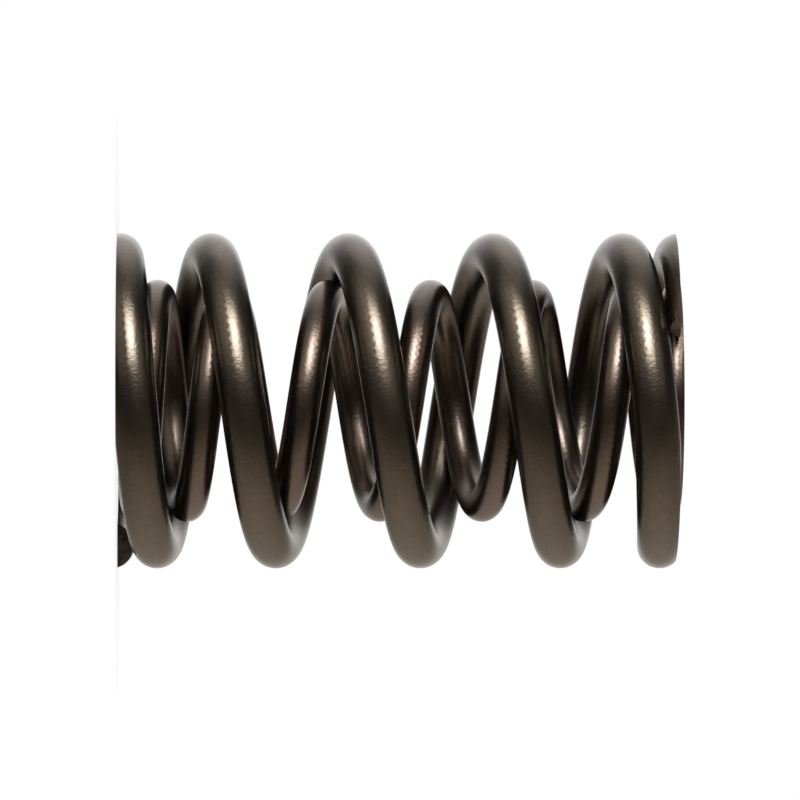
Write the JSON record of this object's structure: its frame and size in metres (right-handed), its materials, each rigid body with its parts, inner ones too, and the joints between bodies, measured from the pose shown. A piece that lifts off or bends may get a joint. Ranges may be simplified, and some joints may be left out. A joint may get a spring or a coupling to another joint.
{
  "type": "engine valve spring",
  "caption": "Engine valve spring of nested round-wire coils, the inner coil wound the other way, with closed and ground ends.",
  "frame": {"origin": "where the spring's axis meets the ground seat plane that it stands on", "axes": "+Z along the axis of both springs, from the seat end up to the retainer end; the picture looks along +Y with +Z to its right and -X up"},
  "size_m": [0.0328, 0.0328, 0.0551],
  "materials": {
    "outer_spring": "dark bronze-brown tempered spring steel, shot peened, satin",
    "inner_spring": "dark bronze-brown tempered spring steel, slightly more coppery, shot peened, satin"
  },
  "bodies": {
    "root": {"outer_spring": "outer_spring", "inner_spring": "inner_spring"}
  },
  "joints": []
}
